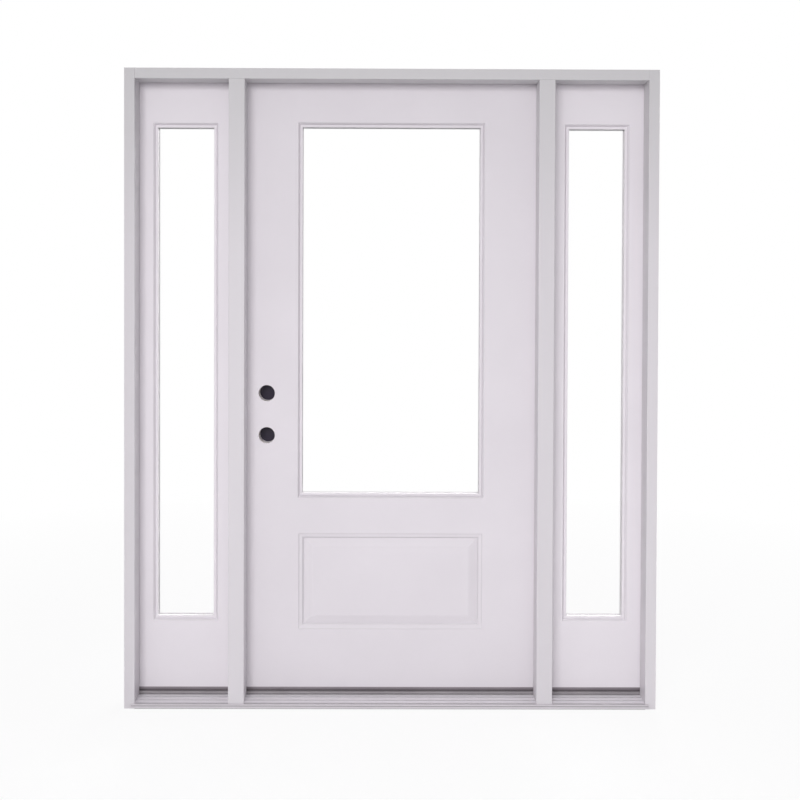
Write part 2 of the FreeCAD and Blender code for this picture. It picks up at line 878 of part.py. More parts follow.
def lock_bore_circles(sketch):
    """The two cross bores of the lock and the deadbolt."""
    for height in LOCK_BORES:
        circle(sketch, "Places.bore_x", height, "Sizes.bore_diameter")


def outer_skin():
    """The outside skin with the moulded lite edge and the raised panel."""
    body = new_body("door_outer_skin")
    sheet = facing_sketch(body, "Places.leaf_face")
    rectangle(sheet, "Places.lock_face_edge", "Places.leaf_edge", "Places.leaf_bottom", "Places.leaf_top")
    rectangle(sheet, *DOOR_LITE.around("0"))
    lock_bore_circles(sheet)
    pad(body, sheet, "Sizes.skin_thickness", back=True)
    rim = DOOR_LITE.around("Sizes.rim_width")
    frame_ring(body, rim, DOOR_LITE.around("0"), "Places.leaf_face", "Sizes.lip_depth")
    sticking(body, DOOR_LITE)
    raised_panel(body, "Places.leaf_face", False)
    return finish(body)


def inner_skin():
    """The inside skin, open for the bead and notched for the hinges."""
    body = new_body("door_inner_skin")
    sheet = facing_sketch(body, "Places.back")
    rectangle(sheet, "-Places.leaf_edge", "Places.leaf_edge", "Places.leaf_bottom", "Places.leaf_top")
    rectangle(sheet, *DOOR_LITE.around("Sizes.rebate_margin"))
    lock_bore_circles(sheet)
    pad(body, sheet, "Sizes.skin_thickness")
    raised_panel(body, "Places.back", True)
    hinge_mortises(body, "Places.leaf_edge", False)
    return finish(body)


def lock_stile():
    """The bevelled lock stile with the edge bores and the faceplate mortises."""
    body = new_body("door_lock_stile")
    outer_corner = "-Places.leaf_edge + Places.bevel_rate * (Places.back - Places.skin_back)"
    inner_corner = "-Places.leaf_edge + Places.bevel_rate * Sizes.skin_thickness"
    section = sketch_on(body, "XY_Plane", "Places.leaf_bottom")
    polygon(
        section,
        [
            (outer_corner, "Places.skin_back"),
            ("-Places.stile_edge", "Places.skin_back"),
            ("-Places.stile_edge", "Places.inner_skin_back"),
            (inner_corner, "Places.inner_skin_back"),
        ],
    )
    pad(body, section, "Sizes.leaf_height")
    bores = sketch_on(body, "YZ_Plane")
    plates = sketch_on(body, "YZ_Plane", "-Places.leaf_edge")
    for height in LOCK_BORES:
        circle(bores, "Places.middle", height, "Sizes.edge_bore_diameter")
        rectangle(
            plates,
            "Places.middle - Sizes.faceplate_width / 2",
            "Places.middle + Sizes.faceplate_width / 2",
            f"{height} - Sizes.faceplate_height / 2",
            f"{height} + Sizes.faceplate_height / 2",
        )
    pocket(body, bores)
    pocket(body, plates, "Sizes.faceplate_depth + Sizes.lock_bevel / 2", back=True)
    return finish(body)


def hinge_stile():
    """The hinge stile with its three mortises."""
    body = new_body("door_hinge_stile")
    section = sketch_on(body, "XY_Plane", "Places.leaf_bottom")
    rectangle(
        section, "Places.stile_edge", "Places.leaf_edge", "Places.skin_back", "Places.inner_skin_back"
    )
    pad(body, section, "Sizes.leaf_height")
    hinge_mortises(body, "Places.leaf_edge", False)
    for low in HINGES:
        round_hinge_corners(body, DOOR_LEAF_FACES, low)
    return finish(body)


def inner_piece(label, left, right, low, high):
    """A rectangular piece between the skins."""
    body = new_body(label)
    face = facing_sketch(body, "Places.skin_back")
    rectangle(face, left, right, low, high)
    pad(body, face, "Places.inner_skin_back - Places.skin_back", back=True)
    return body


def lock_block():
    """The block behind the lock stile, bored across for the locks and along for their bolts."""
    heights = ("Places.block_bottom", "Places.block_top")
    body = inner_piece("door_lock_block", "-Places.stile_edge", "Places.block_edge", *heights)
    cross = facing_sketch(body, "Places.skin_back")
    lock_bore_circles(cross)
    pocket(body, cross)
    along = sketch_on(body, "YZ_Plane", "Places.bore_x")
    for height in LOCK_BORES:
        circle(along, "Places.middle", height, "Sizes.edge_bore_diameter")
    pocket(body, along, "Sizes.backset")
    return finish(body)


def core():
    """The foam core, cut out for the lite, the lock block and the moulded backs of the skins."""
    body = inner_piece(
        "door_core", "-Places.stile_edge", "Places.stile_edge", "Places.core_bottom", "Places.core_top"
    )
    opening = facing_sketch(body, "Places.skin_back")
    rectangle(opening, *DOOR_LITE.around("Sizes.rebate_margin"))
    pocket(body, opening)
    seat = facing_sketch(body, "Places.skin_back")
    rectangle(seat, "-Places.leaf_edge", "Places.block_edge", "Places.block_bottom", "Places.block_top")
    pocket(body, seat)
    rim = facing_sketch(body, "Places.skin_back")
    rectangle(rim, *DOOR_LITE.around("Sizes.rim_width"))
    pocket(body, rim, "Sizes.lip_depth - Sizes.skin_thickness")
    for face, inside in (("Places.skin_back", False), ("Places.inner_skin_back", True)):
        backing = facing_sketch(body, face)
        rectangle(backing, *panel_rectangle("-Sizes.panel_margin"))
        pocket(body, backing, "Sizes.panel_depth", back=inside)
    return finish(body)


def sweep():
    """The black sweep under the leaf: a flat back with four fins."""
    body = new_body("door_sweep")
    section = sketch_on(body, "YZ_Plane")
    back = "Places.leaf_bottom - Sizes.sweep_height / 2"
    tip = "Places.cap_top + Sizes.seal_clearance"
    lower = []
    reach = "(Places.inner_skin_back - Places.skin_back - Sizes.fin_thickness)"
    for index in range(FINS):
        near = f"(Places.skin_back + {index} / {FINS - 1} * {reach})"
        far = f"{near} + Sizes.fin_thickness"
        lower.extend([(near, back), (near, tip), (far, tip), (far, back)])
    outline = lower[1:-1]
    polygon(
        section,
        [
            ("Places.skin_back", "Places.leaf_bottom"),
            *outline,
            ("Places.inner_skin_back", "Places.leaf_bottom"),
        ],
    )
    pad(body, section, "2 * (Places.leaf_edge - Sizes.lock_bevel - 1)", both=True)
    return finish(body)


def bore_covers():
    """Two thin round covers over the inside ends of the cross bores."""
    covers = []
    for height in LOCK_BORES:
        body = new_body("bore_cover")
        disc = facing_sketch(body, "Places.back")
        circle(disc, "Places.bore_x", height, "Sizes.cover_diameter")
        pad(body, disc, "Sizes.cover_thickness", back=True)
        face = number("Places.back + Sizes.cover_thickness")
        round_edges(body, "Sizes.cover_round", lambda edge: abs(edge.CenterOfMass.y - face) < 0.01)
        covers.append(body)
    return gather("bore_covers", covers)


# Hinges


def hinge_leaf(label, low, edges, first, count):
    """One leaf of a butt hinge: the plate in its mortise and every second knuckle around the pin."""
    body = new_body(label)
    plate = sketch_on(body, "YZ_Plane", edges[0])
    rectangle(plate, "Places.hinge_edge", "Places.back", low, f"{low} + Sizes.hinge_height")
    pad(body, plate, "Sizes.hinge_leaf_thickness")
    round_hinge_corners(body, edges, low)
    start = f"{low} + {first} * Places.knuckle_pitch + Sizes.knuckle_gap / 2"
    neck = sketch_on(body, "XY_Plane", start)
    rectangle(neck, *edges, "Places.back - 1", "Places.pin_y")
    neck_pad = pad(body, neck, "Places.knuckle_length")
    barrel = sketch_on(body, "XY_Plane", start)
    circle(barrel, "Places.pin_x", "Places.pin_y", "Sizes.knuckle_diameter")
    barrel_pad = pad(body, barrel, "Places.knuckle_length")
    row = body.newObject("PartDesign::LinearPattern", "Knuckles")
    row.Originals = [neck_pad, barrel_pad]
    axis = next(feature for feature in body.Origin.OriginFeatures if feature.Role == "Z_Axis")
    row.Direction = (axis, [""])
    row.Occurrences = count
    row.setExpression("Length", f"{2 * (count - 1)} * Places.knuckle_pitch")
    body.Tip = row
    document.recompute()
    bore = sketch_on(body, "XY_Plane")
    circle(bore, "Places.pin_x", "Places.pin_y", "Sizes.pin_diameter + 2 * Sizes.pin_clearance")
    pocket(body, bore)
    return body


def hinge_pin(low):
    """A loose pin with a flat head on the top knuckle."""
    body = new_body("hinge_pin")
    shank = sketch_on(body, "XY_Plane", low)
    circle(shank, "Places.pin_x", "Places.pin_y", "Sizes.pin_diameter")
    pad(body, shank, "Sizes.hinge_height")
    head = sketch_on(body, "XY_Plane", f"{low} + Sizes.hinge_height - Sizes.knuckle_gap / 2")
    circle(head, "Places.pin_x", "Places.pin_y", "Sizes.pin_head_diameter")
    pad(body, head, "Sizes.pin_head_height")
    return body


def hinges():
    """Three butt hinges: frame leaves with three knuckles, leaf leaves with two, and their pins."""
    frame_leaves = [hinge_leaf("frame_hinge_leaf", low, FRAME_LEAF_FACES, 0, 3) for low in HINGES]
    gather("frame_hinge_leaves", frame_leaves)
    door_leaves = [hinge_leaf("door_hinge_leaf", low, DOOR_LEAF_FACES, 1, 2) for low in HINGES]
    gather("door_hinge_leaves", door_leaves)
    gather("hinge_pins", [hinge_pin(low) for low in HINGES])


def build():
    """Make every piece of the unit."""
    side_jamb("left_jamb", -1)
    side_jamb("right_jamb", 1)
    head_jamb()
    lock_mullion()
    hinge_mullion()
    sill_deck()
    sill_base()
    sill_cap("threshold_cap", "-Places.door_rabbet", "Places.door_rabbet")
    sill_cap("left_sill_cap", "-Places.jamb_rabbet", "-Places.side_rabbet")
    sill_cap("right_sill_cap", "Places.side_rabbet", "Places.jamb_rabbet")
    door_weatherstrip()
    sidelight_weatherstrip("left_sidelight_weatherstrip", -1)
    sidelight_weatherstrip("right_sidelight_weatherstrip", 1)
    sidelight("left_sidelight", -1)
    sidelight("right_sidelight", 1)
    outer_skin()
    inner_skin()
    lock_stile()
    hinge_stile()
    stiles = ("-Places.stile_edge", "Places.stile_edge")
    finish(inner_piece("door_top_rail", *stiles, "Places.core_top", "Places.leaf_top"))
    finish(inner_piece("door_bottom_rail", *stiles, "Places.leaf_bottom", "Places.core_bottom"))
    lock_block()
    core()
    glass_unit("door_glass", DOOR_LITE)
    glass_spacer("door_spacer", DOOR_LITE)
    glazing_bead("door_bead", DOOR_LITE)
    sweep()
    bore_covers()
    hinges()


build()
document.recompute()

for item in document.Objects:
    if "Invalid" in item.State or "Error" in item.State:
        raise RuntimeError(f"{item.Label} is in state {item.State}")

os.makedirs("parts", exist_ok=True)
for piece in finished:
    shape = piece.Shape
    if shape.isNull() or not shape.isValid() or not shape.Solids:
        raise RuntimeError(f"{piece.Label} has no sound solid")
    shape.exportStep(f"parts/{piece.Label}.step")
    box = shape.BoundBox
    print(
        f"{piece.Label:30s} solids {len(shape.Solids)}  volume {shape.Volume / 1000:10.2f} cm3  "
        f"x {box.XMin:8.1f} {box.XMax:8.1f}  y {box.YMin:7.1f} {box.YMax:7.1f}  "
        f"z {box.ZMin:7.1f} {box.ZMax:7.1f}"
    )
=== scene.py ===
import math

import bpy
from mathutils import Matrix, Vector


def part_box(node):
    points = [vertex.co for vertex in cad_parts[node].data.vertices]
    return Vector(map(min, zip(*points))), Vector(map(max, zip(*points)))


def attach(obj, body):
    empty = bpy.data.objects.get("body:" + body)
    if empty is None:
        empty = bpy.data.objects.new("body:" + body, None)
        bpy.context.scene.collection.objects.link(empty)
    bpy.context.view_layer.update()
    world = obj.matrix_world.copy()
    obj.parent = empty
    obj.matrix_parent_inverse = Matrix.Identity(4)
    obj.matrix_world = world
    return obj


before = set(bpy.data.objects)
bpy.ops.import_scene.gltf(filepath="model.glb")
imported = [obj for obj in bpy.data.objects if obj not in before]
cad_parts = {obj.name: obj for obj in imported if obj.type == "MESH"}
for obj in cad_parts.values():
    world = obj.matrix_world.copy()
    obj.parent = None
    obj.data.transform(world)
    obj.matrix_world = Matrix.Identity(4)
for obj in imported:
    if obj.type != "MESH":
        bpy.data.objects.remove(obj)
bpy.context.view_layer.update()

scene = bpy.context.scene

# Sizes, in metres

SCREW_HEAD = 0.0086
SCREW_RISE = 0.0004
SCREW_RECESS_LENGTH = 0.0046
SCREW_RECESS_WIDTH = 0.0011
SCREW_RECESS_DEPTH = 0.0003
SCREW_PITCH = 0.0255
SCREW_ZIGZAG = 0.008
HINGE_HEIGHT = 0.1016
FRAME_PLATE_FACE = 0.4875
LEAF_PLATE_FACE = 0.4825
CAP_SCREW_PITCH = 0.21
CAP_SCREW_HEAD = 0.0074
CAP_SCREW_INSET = 0.012
LAMINATION = 0.0032
SPACER_HOLE_PITCH = 0.005
SPACER_HOLE_RADIUS = 0.0006
MITRE_WIDTH = 0.0006
# Width of the painted shade around each glazing bead
BEAD_RIM_SHADE = 0.0016
DECK_FRONT = -0.058
DECK_BACK = 0.0055
DECK_NOSE = -0.0615
DECK_SCUFFED = -0.044
DECK_FRONT_HEIGHT = 0.0165
DECK_BACK_HEIGHT = 0.021
NOSE_FACE = -0.0637
NOSE_GROOVE_TOP = 0.0125
# Depths below the deck's top over which its grooves are painted darker, as shade
GROOVE_SHADE_START = 0.0002
GROOVE_SHADE_FULL = 0.0012
SEAL_FOOT = 0.0305
SEAL_TOP = 0.043
# Heights over which the frame's paint is painted darker towards the top, as shade
TOP_SHADE_START = 1.5
TOP_SHADE_FULL = 2.07
PANEL_HALF_WIDTH = 0.3055
PANEL_LOW = 0.238
PANEL_HIGH = 0.557
# Height above the panel's bottom where the quirks' painted shade comes back in full
PANEL_FAINT_BAND = 0.034
FLOOR_REACH = 9.0
FLOOR_CLEAR = 1.3
FLOOR_FADED = 3.6

# The quirks of the raised panel: inset from its edge, reach of the painted shade, and most
# painted shade
QUIRKS = ((0.0012, 0.0024, 0.22), (0.0142, 0.0046, 0.26))

# Depths of fine relief, in metres

PAINT_RELIEF = 0.00006
WOOD_RELIEF = 0.00015
DRAWN_RELIEF = 0.00003
GRIT_RELIEF = 0.00008
CELL_RELIEF = 0.0006
GLASS_RELIEF = 0.000004

# Counts and shares

HINGES = 3
SCREWS_PER_PLATE = 4
CAP_SCREWS = 5
SCREW_HEAD_SIDES = 24
SCREW_HEAD_TAPER = 0.9
# Share of the bead's open mitre joints and of the painted shade around it
SEAM_AND_SHADE_SHARE = 0.45
# Share of the quirks' painted shade kept along the panel's lit bottom
FAINT_QUIRK_SHADE = 0.1
GLUE_EDGE = 0.44
GLUE_SHARE = 0.55
# Shares of painted shade in the deck's grooves and the nose's groove
GROOVE_SHADE_SHARE = 0.5
NOSE_SHADE_SHARE = 0.6
SCUFF_SHARE = 0.85
# Share of painted shade at the seal's foot
SEAL_FOOT_SHADE_SHARE = 0.85
GLASS_HAZE = 0.012
FLOOR_WHITE = 0.88
AMBIENT = 0.44

# Screen colours, 0 to 255

FRAME_PAINT = (213, 209, 213)
FRAME_SHADE = (208, 204, 208)
# Painted shade towards the top of the frame
FRAME_TOP_SHADE = (200, 198, 200)
LEAF_PAINT = (219, 214, 219)
LEAF_SHADE = (215, 210, 215)
# The sidelights' paint, painted lighter than the leaf's to stand in for light their recesses lose
SIDELIGHT_PAINT_LIGHTENED = (227, 222, 227)
SIDELIGHT_SHADE_LIGHTENED = (223, 218, 223)
# Painted shade in the raised panel's quirks
QUIRK_SHADE = (150, 146, 150)
# Colour of the bead's open mitres and of the painted shade around it
SEAM_AND_SHADE = (120, 116, 118)
GLUE = (118, 84, 52)
SCUFF = (200, 195, 200)
# Painted shade in the deck's grooves
GROOVE_SHADE = (92, 87, 88)
# Painted shade at the foot of the black seal
SEAL_FOOT_SHADE = (48, 43, 47)
HOLE = (48, 48, 50)
FLOOR_TONE = (246, 245, 247)
AMBIENT_TONE = (250, 249, 252)

# Squeeze of a pattern along each axis

EVEN = (1.0, 1.0, 1.0)
BRUSHED_ACROSS = (0.06, 1.0, 1.0)
BRUSHED_UP = (1.0, 1.0, 0.06)
GRAIN_UP = (1.0, 1.0, 0.04)
DRAWN_ACROSS = (0.02, 1.0, 1.0)
DRAWN_UP = (1.0, 1.0, 0.05)
ROLLED = (0.2, 3.0, 0.2)

# Node building

WHITE = (1.0, 1.0, 1.0, 1.0)
SURFACE = (("Color", "Color"), ("Roughness", "Float"), ("Height", "Float"))
NOISE_LOW = 0.3
NOISE_HIGH = 0.7


def tone(red, green, blue):
    """A screen colour, 0 to 255, as the light values that a shader takes."""
    parts = [value / 255 for value in (red, green, blue)]
    light = [p / 12.92 if p <= 0.04045 else ((p + 0.055) / 1.055) ** 2.4 for p in parts]
    return (*light, 1.0)


class Board:
    """A node tree that takes nodes, with their inputs set or joined by name or number."""

    def __init__(self, tree):
        self.tree = tree

    def add(self, kind, inputs=None, **settings):
        """Place one node."""
        node = self.tree.nodes.new(kind)
        for name, value in settings.items():
            setattr(node, name, value)
        for key, value in (inputs or {}).items():
            self.feed(node.inputs[key], value)
        return node

    def feed(self, socket, value):
        """Join a socket to another one, or set its value."""
        if isinstance(value, bpy.types.NodeSocket):
            self.tree.links.new(value, socket)
        else:
            socket.default_value = value

    def calc(self, operation, first, second=0.0):
        """One step of arithmetic."""
        return self.add("ShaderNodeMath", {0: first, 1: second}, operation=operation).outputs[0]

    def weighed(self, first, first_share, second, second_share):
        """Two values added up by their shares."""
        total = self.calc("MULTIPLY_ADD", first, first_share)
        self.feed(total.node.inputs[2], self.calc("MULTIPLY", second, second_share))
        return total

    def spread(self, value, low, high, new_low, new_high):
        """Stretch a value from one range to another."""
        ranges = {0: value, 1: low, 2: high, 3: new_low, 4: new_high}
        return self.add("ShaderNodeMapRange", ranges).outputs[0]

    def blend(self, share, first, second):
        """Mix two colours."""
        inputs = {0: share, 6: first, 7: second}
        return self.add("ShaderNodeMix", inputs, data_type="RGBA").outputs[2]

    def cover(self, share, under, over):
        """Lay one shader over another by a share."""
        return self.add("ShaderNodeMixShader", {0: share, 1: under, 2: over}).outputs[0]

    def noise(self, place, scale, detail):
        """Smooth random values between 0 and 1."""
        inputs = {"Vector": place, "Scale": scale, "Detail": detail}
        return self.add("ShaderNodeTexNoise", inputs).outputs[0]

    def point(self, x=0.0, y=0.0, z=0.0):
        """A vector from its three parts."""
        return self.add("ShaderNodeCombineXYZ", {0: x, 1: y, 2: z}).outputs[0]

    def split(self, vector):
        """The three parts of a vector."""
        return self.add("ShaderNodeSeparateXYZ", {0: vector}).outputs

    def moved(self, geometry, shift):
        """A mesh, shifted."""
        inputs = {"Geometry": geometry, "Translation": shift}
        return self.add("GeometryNodeTransform", inputs).outputs[0]

    def line(self, count, start, step):
        """Points in a row."""
        inputs = {"Count": count, "Start Location": start, "Offset": step}
        return self.add("GeometryNodeMeshLine", inputs).outputs[0]


def shared_effect(name, inputs, outputs):
    """Start a shader group with named sockets."""
    tree = bpy.data.node_groups.new(name, "ShaderNodeTree")
    for label, kind, value in inputs:
        socket = tree.interface.new_socket(label, in_out="INPUT", socket_type=f"NodeSocket{kind}")
        socket.default_value = value
    for label, kind in outputs:
        tree.interface.new_socket(label, in_out="OUTPUT", socket_type=f"NodeSocket{kind}")
    board = Board(tree)
    entry = board.add("NodeGroupInput").outputs
    result = board.add("NodeGroupOutput").inputs
    return board, entry, result


def paint_film():
    """Satin paint: broad faint clouding of the tone and a fine stipple."""
    board, entry, result = shared_effect(
        "paint_film",
        (
            ("Place", "Vector", (0.0, 0.0, 0.0)),
            ("Paint", "Color", WHITE),
            ("Shade", "Color", WHITE),
            ("Cloud Scale", "Float", 2.0),
            ("Stipple Scale", "Float", 600.0),
            ("Least Roughness", "Float", 0.36),
            ("Most Roughness", "Float", 0.46),
        ),
        SURFACE,
    )
    cloud = board.noise(entry["Place"], entry["Cloud Scale"], detail=4.0)
    stipple = board.noise(entry["Place"], entry["Stipple Scale"], detail=2.0)
    share = board.spread(cloud, NOISE_LOW, NOISE_HIGH, 0.0, 1.0)
    board.feed(result["Color"], board.blend(share, entry["Paint"], entry["Shade"]))
    uneven = board.weighed(stipple, 0.5, cloud, 0.5)
    rough = (entry["Least Roughness"], entry["Most Roughness"])
    board.feed(result["Roughness"], board.spread(uneven, NOISE_LOW, NOISE_HIGH, *rough))
    board.feed(result["Height"], stipple)
    return board.tree


def drawn_grain():
    """Lines drawn out along one direction: wood grain, brush strokes and die lines."""
    board, entry, result = shared_effect(
        "drawn_grain",
        (
            ("Place", "Vector", (0.0, 0.0, 0.0)),
            ("Light", "Color", WHITE),
            ("Dark", "Color", WHITE),
            ("Scale", "Float", 40.0),
            ("Least Roughness", "Float", 0.4),
            ("Most Roughness", "Float", 0.6),
        ),
        SURFACE,
    )
    finer = 6.0
    line_low, line_high = 0.35, 0.65
    broad = board.noise(entry["Place"], entry["Scale"], detail=3.0)
    fine_scale = board.calc("MULTIPLY", entry["Scale"], finer)
    fine = board.noise(entry["Place"], fine_scale, detail=2.0)
    lines = board.weighed(fine, 0.4, broad, 0.6)
    share = board.spread(lines, line_low, line_high, 0.0, 1.0)
    board.feed(result["Color"], board.blend(share, entry["Light"], entry["Dark"]))
    rough = (entry["Least Roughness"], entry["Most Roughness"])
    board.feed(result["Roughness"], board.spread(lines, NOISE_LOW, NOISE_HIGH, *rough))
    board.feed(result["Height"], lines)
    return board.tree


def moulded_grit():
    """Moulded rubber, plastic and composite: small flecks over a fine grain."""
    board, entry, result = shared_effect(
        "moulded_grit",
        (
            ("Place", "Vector", (0.0, 0.0, 0.0)),
            ("Base", "Color", WHITE),
            ("Fleck", "Color", WHITE),
            ("Grain Scale", "Float", 900.0),
            ("Least Roughness", "Float", 0.5),
            ("Most Roughness", "Float", 0.7),
        ),
        SURFACE,
    )
    fleck_low, fleck_high = 0.16, 0.4
    grain = board.noise(entry["Place"], entry["Grain Scale"], detail=3.0)
    bloom = board.noise(entry["Place"], scale=9.0, detail=3.0)
    mixed = board.calc("MULTIPLY", grain, bloom)
    share = board.spread(mixed, fleck_low, fleck_high, 0.0, 1.0)
    board.feed(result["Color"], board.blend(share, entry["Base"], entry["Fleck"]))
    rough = (entry["Least Roughness"], entry["Most Roughness"])
    board.feed(result["Roughness"], board.spread(bloom, NOISE_LOW, NOISE_HIGH, *rough))
    board.feed(result["Height"], grain)
    return board.tree


PAINT_FILM = paint_film()
DRAWN_GRAIN = drawn_grain()
MOULDED_GRIT = moulded_grit()

# Finishes


class Finish:
    """One material: a shader, the point on the piece, and the effects that dress it."""

    def __init__(self, name, **constants):
        self.material = bpy.data.materials.new(name)
        self.material.use_nodes = True
        self.board = Board(self.material.node_tree)
        self.shader = self.material.node_tree.nodes["Principled BSDF"]
        self.place = self.board.add("ShaderNodeTexCoord").outputs["Object"]
        for label, value in constants.items():
            self.feed(label.replace("_", " "), value)

    def feed(self, label, value):
        """Set or join one input of the shader."""
        self.board.feed(self.shader.inputs[label], value)

    def split(self):
        """The three parts of the point."""
        return self.board.split(self.place)

    def squeezed(self, scale):
        """The point, squeezed along each axis."""
        inputs = {"Vector": self.place, "Scale": scale}
        return self.board.add("ShaderNodeMapping", inputs).outputs[0]

    def apply(self, effect, place, colours, roughness, scales):
        """Colour and roughen the shader by a shared effect, and give back its height."""
        values = {"Place": place, **scales}
        values.update({label: tone(*colour) for label, colour in colours.items()})
        values["Least Roughness"], values["Most Roughness"] = roughness
        outputs = self.board.add("ShaderNodeGroup", values, node_tree=effect).outputs
        self.feed("Base Color", outputs["Color"])
        self.feed("Roughness", outputs["Roughness"])
        return outputs["Height"]

    def overlay(self, share, colour):
        """Lay another colour over the present one by a share."""
        present = self.shader.inputs["Base Color"].links[0].from_socket
        self.feed("Base Color", self.board.blend(share, present, tone(*colour)))

    def relief(self, height, depth):
        """Raise the surface by a height."""
        inputs = {"Strength": 1.0, "Distance": depth, "Height": height}
        self.feed("Normal", self.board.add("ShaderNodeBump", inputs).outputs[0])

    def show(self, shader):
        """Put a mixed shader on the surface."""
        output = self.material.node_tree.nodes["Material Output"]
        self.board.feed(output.inputs["Surface"], shader)


def satin(name, paint, shade, strokes):
    """White satin paint, rolled on or brushed along the piece."""
    finish = Finish(name)
    stipple = finish.apply(
        PAINT_FILM,
        finish.squeezed(strokes),
        colours={"Paint": paint, "Shade": shade},
        roughness=(0.38, 0.5),
        scales={"Cloud Scale": 3.0, "Stipple Scale": 420.0},
    )
    finish.relief(stipple, PAINT_RELIEF)
    return finish


def top_shaded(name, paint, shade, strokes, painted_shade):
    """Satin paint that greys towards the top, as painted shade."""
    finish = satin(name, paint, shade, strokes)
    height = finish.split()[2]
    finish.overlay(finish.board.spread(height, TOP_SHADE_START, TOP_SHADE_FULL, 0.0, 1.0), painted_shade)
    return finish.material


def panelled(name, paint, shade):
    """The leaf's paint, with painted shade in the raised panel's quirks, faint along the lit
    bottom.
    """
    finish = satin(name, paint, shade, EVEN)
    board = finish.board
    split = finish.split()
    across = board.calc("SUBTRACT", board.calc("ABSOLUTE", split[0]), PANEL_HALF_WIDTH)
    level = board.calc("SUBTRACT", split[2], (PANEL_LOW + PANEL_HIGH) / 2)
    upward = board.calc("SUBTRACT", board.calc("ABSOLUTE", level), (PANEL_HIGH - PANEL_LOW) / 2)
    edge = board.calc("MAXIMUM", across, upward)
    painted_shade = 0.0
    for inset, reach, most in QUIRKS:
        off = board.calc("ABSOLUTE", board.calc("ADD", edge, inset))
        painted_shade = board.calc("MAXIMUM", painted_shade, board.spread(off, 0.0, reach, most, 0.0))
    # Painted shade kept faint along the bottom, where the moulding faces the light
    faint_low, faint_high = PANEL_LOW + QUIRKS[-1][0], PANEL_LOW + PANEL_FAINT_BAND
    faint_below = board.spread(split[2], faint_low, faint_high, FAINT_QUIRK_SHADE, 1.0)
    finish.overlay(board.calc("MULTIPLY", painted_shade, faint_below), QUIRK_SHADE)
    return finish.material


def mitred(name, paint, shade, node):
    """The paint of a glazing bead, with fine open joints at its four mitres and painted shade
    around it.
    """
    finish = satin(name, paint, shade, EVEN)
    board = finish.board
    split = finish.split()
    low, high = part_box(node)
    across = board.calc("ABSOLUTE", board.calc("SUBTRACT", split[0], (low.x + high.x) / 2))
    upward = board.calc("ABSOLUTE", board.calc("SUBTRACT", split[2], (low.z + high.z) / 2))
    aside = board.calc("SUBTRACT", across, (high.x - low.x) / 2)
    above = board.calc("SUBTRACT", upward, (high.z - low.z) / 2)
    off = board.calc("ABSOLUTE", board.calc("SUBTRACT", above, aside))
    mitre = board.spread(off, 0.0, MITRE_WIDTH, SEAM_AND_SHADE_SHARE, 0.0)
    # Painted shade along the bead's outer edge
    rim_shade = board.spread(board.calc("MAXIMUM", aside, above), -BEAD_RIM_SHADE, 0.0, 0.0, SEAM_AND_SHADE_SHARE)
    finish.overlay(board.calc("MAXIMUM", mitre, rim_shade), SEAM_AND_SHADE)
    return finish.material


def laminated_wood(name, light, dark):
    """Bare laminated wood: grain along the height and thin glue lines between the plies."""
    finish = Finish(name)
    board = finish.board
    grain = finish.apply(
        DRAWN_GRAIN,
        finish.squeezed(GRAIN_UP),
        colours={"Light": light, "Dark": dark},
        roughness=(0.55, 0.75),
        scales={"Scale": 120.0},
    )
    finish.relief(grain, WOOD_RELIEF)
    ply = board.calc("FRACT", board.calc("DIVIDE", finish.split()[1], LAMINATION))
    off = board.calc("ABSOLUTE", board.calc("SUBTRACT", ply, 0.5))
    finish.overlay(board.spread(off, GLUE_EDGE, 0.5, 0.0, GLUE_SHARE), GLUE)
    return finish.material


def drawn_metal(name, light, dark, stretch, scale, roughness, metallic):
    """Extruded or brushed metal, with lines along the way it was drawn."""
    finish = Finish(name, Metallic=metallic)
    lines = finish.apply(
        DRAWN_GRAIN,
        finish.squeezed(stretch),
        colours={"Light": light, "Dark": dark},
        roughness=roughness,
        scales={"Scale": scale},
    )
    finish.relief(lines, DRAWN_RELIEF)
    return finish


def grooved_deck(name):
    """Drawn deck metal, scuffed at its nose, with painted shade below its sloping top and in the
    nose's groove.
    """
    finish = drawn_metal(
        name,
        light=(241, 237, 242),
        dark=(232, 228, 233),
        stretch=DRAWN_ACROSS,
        scale=160.0,
        roughness=(0.42, 0.56),
        metallic=0.25,
    )
    board = finish.board
    split = finish.split()
    finish.overlay(board.spread(split[1], DECK_NOSE, DECK_SCUFFED, SCUFF_SHARE, 0.0), SCUFF)
    # Painted shade in the grooves below the sloping top and in the nose's groove
    slope = (DECK_BACK_HEIGHT - DECK_FRONT_HEIGHT) / (DECK_BACK - DECK_FRONT)
    rise = board.calc("MULTIPLY", board.calc("SUBTRACT", split[1], DECK_FRONT), slope)
    below = board.calc("SUBTRACT", board.calc("ADD", rise, DECK_FRONT_HEIGHT), split[2])
    inside = board.calc("GREATER_THAN", split[1], DECK_NOSE)
    depth = board.spread(below, GROOVE_SHADE_START, GROOVE_SHADE_FULL, 0.0, GROOVE_SHADE_SHARE)
    grooves = board.calc("MULTIPLY", depth, inside)
    sunk = board.calc("GREATER_THAN", split[1], NOSE_FACE)
    low = board.calc("LESS_THAN", split[2], NOSE_GROOVE_TOP)
    nose = board.calc("MULTIPLY", board.calc("MULTIPLY", sunk, low), NOSE_SHADE_SHARE)
    finish.overlay(board.calc("MAXIMUM", grooves, nose), GROOVE_SHADE)
    return finish.material


def moulded(name, base, fleck, roughness, scale):
    """Moulded rubber, plastic or composite."""
    finish = Finish(name)
    grain = finish.apply(
        MOULDED_GRIT,
        finish.place,
        colours={"Base": base, "Fleck": fleck},
        roughness=roughness,
        scales={"Grain Scale": scale},
    )
    finish.relief(grain, GRIT_RELIEF)
    return finish


